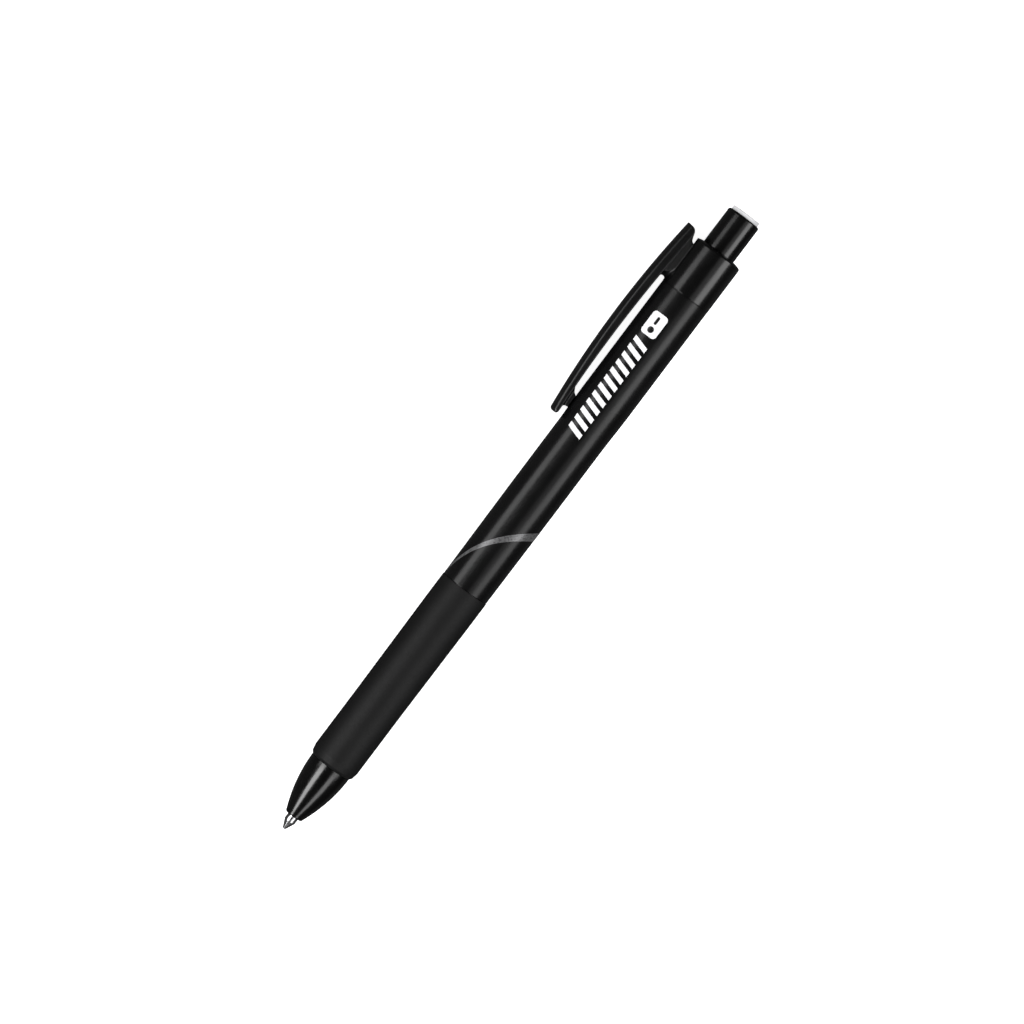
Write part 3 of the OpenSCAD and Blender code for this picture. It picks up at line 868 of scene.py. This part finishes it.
def wrapped(faces, name, material):
    """Thin film printed on the barrel. faces are lists of (z, turn) corners; turn is in degrees from
    the line that faces the camera, away from the clip."""
    bm = bmesh.new()
    made = {}
    for corners in faces:
        for corner in corners:
            if corner not in made:
                made[corner] = bm.verts.new((*corner, 0))
        bm.faces.new([made[corner] for corner in corners])
    turns = [v.co.y for v in bm.verts]
    for turn in np.arange(math.floor(min(turns)) + 1, max(turns), WRAP_STEP):
        bmesh.ops.bisect_plane(bm, geom=bm.verts[:] + bm.edges[:] + bm.faces[:],
                               plane_co=(0, turn, 0), plane_no=(0, 1, 0), dist=1e-4)
    lower = bmesh.ops.extrude_face_region(bm, geom=bm.faces[:])
    sunk = {v for v in lower["geom"] if isinstance(v, bmesh.types.BMVert)}
    for v in bm.verts:
        z, turn = v.co.x, math.radians(v.co.y)
        r = barrel_r(z) + (-INK_SUNK if v in sunk else INK_FILM)
        v.co = place(z, -r * math.sin(turn), r * math.cos(turn))
    return finish_piece(in_fixed_order(mesh_of(bm, name)), name, "pen", material)


STRIPE_APEX = 86.5  # turn at which the stripe reaches highest
STRIPE_TOP_Z = BARREL_Z + 15.8
STRIPE_BEND = 0.00054  # fall in mm per square degree from the apex
STRIPE_MARGIN = 0.12  # bare strip between the stripe and the grip
STRIPE_HALF_W = 0.62  # at its ends
STRIPE_SWELL = 0.40  # added at its apex


def stripe():
    """Plain curved stripe that rises from the grip, passes behind the pen and comes back."""
    reach = math.sqrt((STRIPE_TOP_Z - BARREL_Z - 0.15) / STRIPE_BEND)
    steps = 150
    rows = []
    for k in range(steps + 1):
        swing = reach * (2 * k / steps - 1)
        middle = STRIPE_TOP_Z - STRIPE_BEND * swing * swing
        half = STRIPE_HALF_W + STRIPE_SWELL * (1 - abs(swing) / reach) ** 1.2
        turn = STRIPE_APEX + swing
        rows.append(((max(middle - half, BARREL_Z + STRIPE_MARGIN), turn), (middle + half, turn)))
    faces = [(low, high, high1, low1) for (low, high), (low1, high1) in zip(rows, rows[1:])]
    return wrapped(faces, "barrel_stripe", silver_ink)


FIRST_BAR_Z = COLLAR_Z - 32.8
PRINT_TURN = -15.8
PRINT_H = 3.45
BAR_W = 1.0
BAR_PITCH = 1.83
BAR_COUNT = 12
BAR_SLANT = 0.28
BADGE_Z = COLLAR_Z - 10.15
BADGE_LEN = 4.9
BADGE_ROUND = 0.75
DOT_D = 1.3
DOT_SHIFT = -1.15  # from the badge's middle, like the dash's
DASH_SHIFT = 0.85
DASH_LEN = 1.7
DASH_H = 0.6
DASH_ROUND = 0.28


def degrees_round(length, z):
    """Turn that a length takes up round the barrel."""
    return math.degrees(length / barrel_r(z))


def print_corner(z, up, middle_z):
    """(z, turn) of a place on the print, up millimetres towards the clip from its middle line."""
    return (round(z, 5), round(PRINT_TURN - degrees_round(up, middle_z), 5))


def bars():
    """Row of plain slanted bars where the pen's printing is."""
    faces = []
    for k in range(BAR_COUNT):
        z = FIRST_BAR_Z + k * BAR_PITCH
        lean = BAR_SLANT * PRINT_H / 2
        faces.append([
            print_corner(z - lean, -PRINT_H / 2, z), print_corner(z - lean + BAR_W, -PRINT_H / 2, z),
            print_corner(z + lean + BAR_W, PRINT_H / 2, z), print_corner(z + lean, PRINT_H / 2, z),
        ])
    return wrapped(faces, "barrel_bars", white_ink)


def round_box(z, up, length, height, corner_r, steps=8):
    """Outline of a rounded rectangle as (z, up) points about a middle."""
    points = []
    for quarter, (sz, su) in enumerate(((1, 1), (-1, 1), (-1, -1), (1, -1))):
        for k in range(steps + 1):
            turn = math.pi / 2 * (quarter + k / steps)
            points.append((z + sz * (length / 2 - corner_r) + corner_r * math.cos(turn),
                           up + su * (height / 2 - corner_r) + corner_r * math.sin(turn)))
    return points


def badge():
    """Rounded white badge with a plain dot and line left open in it."""
    middle = BADGE_Z + BADGE_LEN / 2
    loops = [
        round_box(middle, 0, BADGE_LEN, PRINT_H, BADGE_ROUND),
        round_box(middle + DOT_SHIFT, 0, DOT_D, DOT_D, DOT_D / 2 - 0.0001, 12),
        round_box(middle + DASH_SHIFT, 0, DASH_LEN, DASH_H, DASH_ROUND, 6),
    ]
    flat = [[Vector((z, up, 0)) for z, up in loop] for loop in loops]
    points = [print_corner(z, up, middle) for loop in loops for z, up in loop]
    triangles = geometry.tessellate_polygon(flat)
    faces = [[points[i] for i in triangle] for triangle in triangles]
    faces = [face for face in faces if len(set(face)) == 3]
    return wrapped(faces, "barrel_badge", white_ink)


# ------------------------------------------------------------------ floor, lights and camera
FLOOR_SIZE = 4.0  # metres
FLOOR_GAP = 0.02
FLOOR_COLOUR = (0.86, 0.86, 0.86, 1)
FLOOR_LIFT = 0.94  # own light towards the camera, which makes the floor the photo's plain white
FLOOR_IN_REFLECTIONS = 0.08
WORLD_FILL = 0.15
WORLD_IN_REFLECTIONS = 0.03
LIGHT_DISTANCE = 800.0
LIGHT_PIVOT_Z = 150.0


def floor():
    """Pale floor under the pen. It shows its own white to the camera and stays dim in reflections."""
    bm = bmesh.new()
    bmesh.ops.create_grid(bm, x_segments=2, y_segments=2, size=FLOOR_SIZE)
    mesh = mesh_of(bm, "floor")
    piece = bpy.data.objects.new("floor", mesh)
    bpy.context.scene.collection.objects.link(piece)
    piece.location.z = cad_box[0].z - FLOOR_GAP * MM
    material = bpy.data.materials.new("floor_white")
    material.use_nodes = True
    tree = material.node_tree
    tree.nodes.clear()
    path = tree.nodes.new("ShaderNodeLightPath")
    paper = tree.nodes.new("ShaderNodeBsdfDiffuse")
    paper.inputs["Color"].default_value = FLOOR_COLOUR
    lift = tree.nodes.new("ShaderNodeEmission")
    lift_strength = tree.nodes.new("ShaderNodeMath")
    lift_strength.operation = "MULTIPLY"
    lift_strength.inputs[1].default_value = FLOOR_LIFT
    tree.links.new(path.outputs["Is Camera Ray"], lift_strength.inputs[0])
    tree.links.new(lift_strength.outputs[0], lift.inputs["Strength"])
    both = tree.nodes.new("ShaderNodeAddShader")
    dim = tree.nodes.new("ShaderNodeEmission")
    dim.inputs["Strength"].default_value = FLOOR_IN_REFLECTIONS
    mixed = tree.nodes.new("ShaderNodeMixShader")
    out = tree.nodes.new("ShaderNodeOutputMaterial")
    tree.links.new(paper.outputs[0], both.inputs[0])
    tree.links.new(lift.outputs[0], both.inputs[1])
    tree.links.new(path.outputs["Is Glossy Ray"], mixed.inputs[0])
    tree.links.new(both.outputs[0], mixed.inputs[1])
    tree.links.new(dim.outputs[0], mixed.inputs[2])
    tree.links.new(mixed.outputs[0], out.inputs[0])
    mesh.materials.append(material)


def world():
    """White backdrop, dim in reflections so that the black plastic stays black."""
    made = bpy.data.worlds.new("studio")
    bpy.context.scene.world = made
    made.use_nodes = True
    tree = made.node_tree
    tree.nodes.clear()
    path = tree.nodes.new("ShaderNodeLightPath")
    out = tree.nodes.new("ShaderNodeOutputWorld")
    below = None
    strengths = (("", WORLD_FILL), ("Is Glossy Ray", WORLD_IN_REFLECTIONS), ("Is Camera Ray", 1.0))
    for kind, strength in strengths:
        glow = tree.nodes.new("ShaderNodeBackground")
        glow.inputs["Strength"].default_value = strength
        glow.inputs["Color"].default_value = (1, 1, 1, 1)
        if not kind:
            below = glow.outputs[0]
            continue
        mixed = tree.nodes.new("ShaderNodeMixShader")
        tree.links.new(path.outputs[kind], mixed.inputs[0])
        tree.links.new(below, mixed.inputs[1])
        tree.links.new(glow.outputs[0], mixed.inputs[2])
        below = mixed.outputs[0]
    tree.links.new(below, out.inputs[0])


def strip_light(name, turn, spread_angle, x0, x1, radiance, slant):
    """Long soft light beside the pen. turn is in degrees from the camera, away from the clip. x0 and x1
    are its ends, measured along the pen from the point. slant is how far its line swings towards the
    camera's side in front of the pen, in degrees."""
    a = math.radians(turn)
    outwards = SIDE * math.cos(a) - CLIP * math.sin(a)
    width = 2 * LIGHT_DISTANCE * math.tan(math.radians(spread_angle / 2)) * MM
    length = (x1 - x0) * MM
    light = bpy.data.lights.new(name, "AREA")
    light.shape = "RECTANGLE"
    light.size = length
    light.size_y = width
    light.energy = radiance * math.pi * length * width
    lamp = bpy.data.objects.new(name, light)
    bpy.context.scene.collection.objects.link(lamp)
    sideways = (-SIDE * math.sin(a) - CLIP * math.cos(a)) * (1 if turn > 0 else -1)
    swing = math.radians(slant)
    line = ALONG * math.cos(swing) + sideways * math.sin(swing)
    pivot = TIP + ALONG * LIGHT_PIVOT_Z * MM + outwards * LIGHT_DISTANCE * MM
    middle = pivot + line * (((x0 + x1) / 2 - LIGHT_PIVOT_Z) * MM)
    lamp.matrix_world = matrix_of(line, outwards.cross(line), outwards, middle)
    lamp.visible_camera = False


def matrix_of(x, y, z, where):
    """World matrix from three axes and a place."""
    made = Matrix((x, y, z)).transposed().to_4x4()
    made.translation = where
    return made


def lights():
    """Soft strips on both sides of the camera, in lengths of their own brightness along the pen."""
    strip_light("left_front", -31, 24, -950, -78, 9.5, -1.5)
    strip_light("left_rear", -49, 25, -78, 150, 4.4, 0)
    strip_light("right_front", 42, 22, -900, -78, 3.7, -3)
    strip_light("right_middle", 57, 26, -78, 85, 3.1, 17)
    strip_light("right_rear", 57, 26, 85, 700, 4.3, 17)
    strip_light("right_fill", 33, 22, -78, 700, 0.6, 17)


VIEW_DISTANCE = 880.0
VIEW_SWING = 2.3  # towards the button's end, in degrees
LENS = 164.35  # focal length
SENSOR = 36.0
PEN_RISE = 52.99  # how steeply the pen points up in the picture, in degrees
AIM = (73.73, 1.57, -0.5)  # place on the pen at the middle of the picture


def camera():
    """Camera on the pen's flank, rolled so that the pen rises to the right with the clip above."""
    rise = math.radians(PEN_RISE)
    swing = math.radians(VIEW_SWING)
    back = SIDE * math.cos(swing) + ALONG * math.sin(swing)
    along = ALONG * math.cos(swing) - SIDE * math.sin(swing)
    right = along * math.cos(rise) - CLIP * math.sin(rise)
    up = along * math.sin(rise) + CLIP * math.cos(rise)
    lens = bpy.data.cameras.new("camera")
    lens.lens = LENS
    lens.sensor_width = SENSOR
    lens.clip_start = 0.05
    lens.clip_end = 20
    made = bpy.data.objects.new("camera", lens)
    bpy.context.scene.collection.objects.link(made)
    made.matrix_world = matrix_of(right, up, back, place(*AIM) + back * VIEW_DISTANCE * MM)
    bpy.context.scene.camera = made


# ------------------------------------------------------------------ inner CAD nodes keep their shape
INNER_FINISH = {
    "cam_sleeve": natural,
    "cam_plunger": natural,
    "cam_rotor": natural,
    "refill_tube": clear_tube,
    "ink_column": gel_ink,
    "grease_follower": grease,
    "refill_tail_plug": natural,
    "tip_holder": natural,
}


def finish_inner_nodes():
    """Procedural materials on the CAD nodes that stay in the picture."""
    for node, material in INNER_FINISH.items():
        mesh = frame["nodes"][node].data
        mesh.materials.clear()
        mesh.materials.append(material)


camera()
world()
floor()
lights()
nose_cone()
rubber_grip()
barrel()
top_collar()
pocket_clip()
push_button()
button_end_plug()
metal_tip()
writing_ball()
return_spring()
ball_spring()
stripe()
bars()
badge()
finish_inner_nodes()
bpy.context.scene.view_settings.view_transform = "Standard"
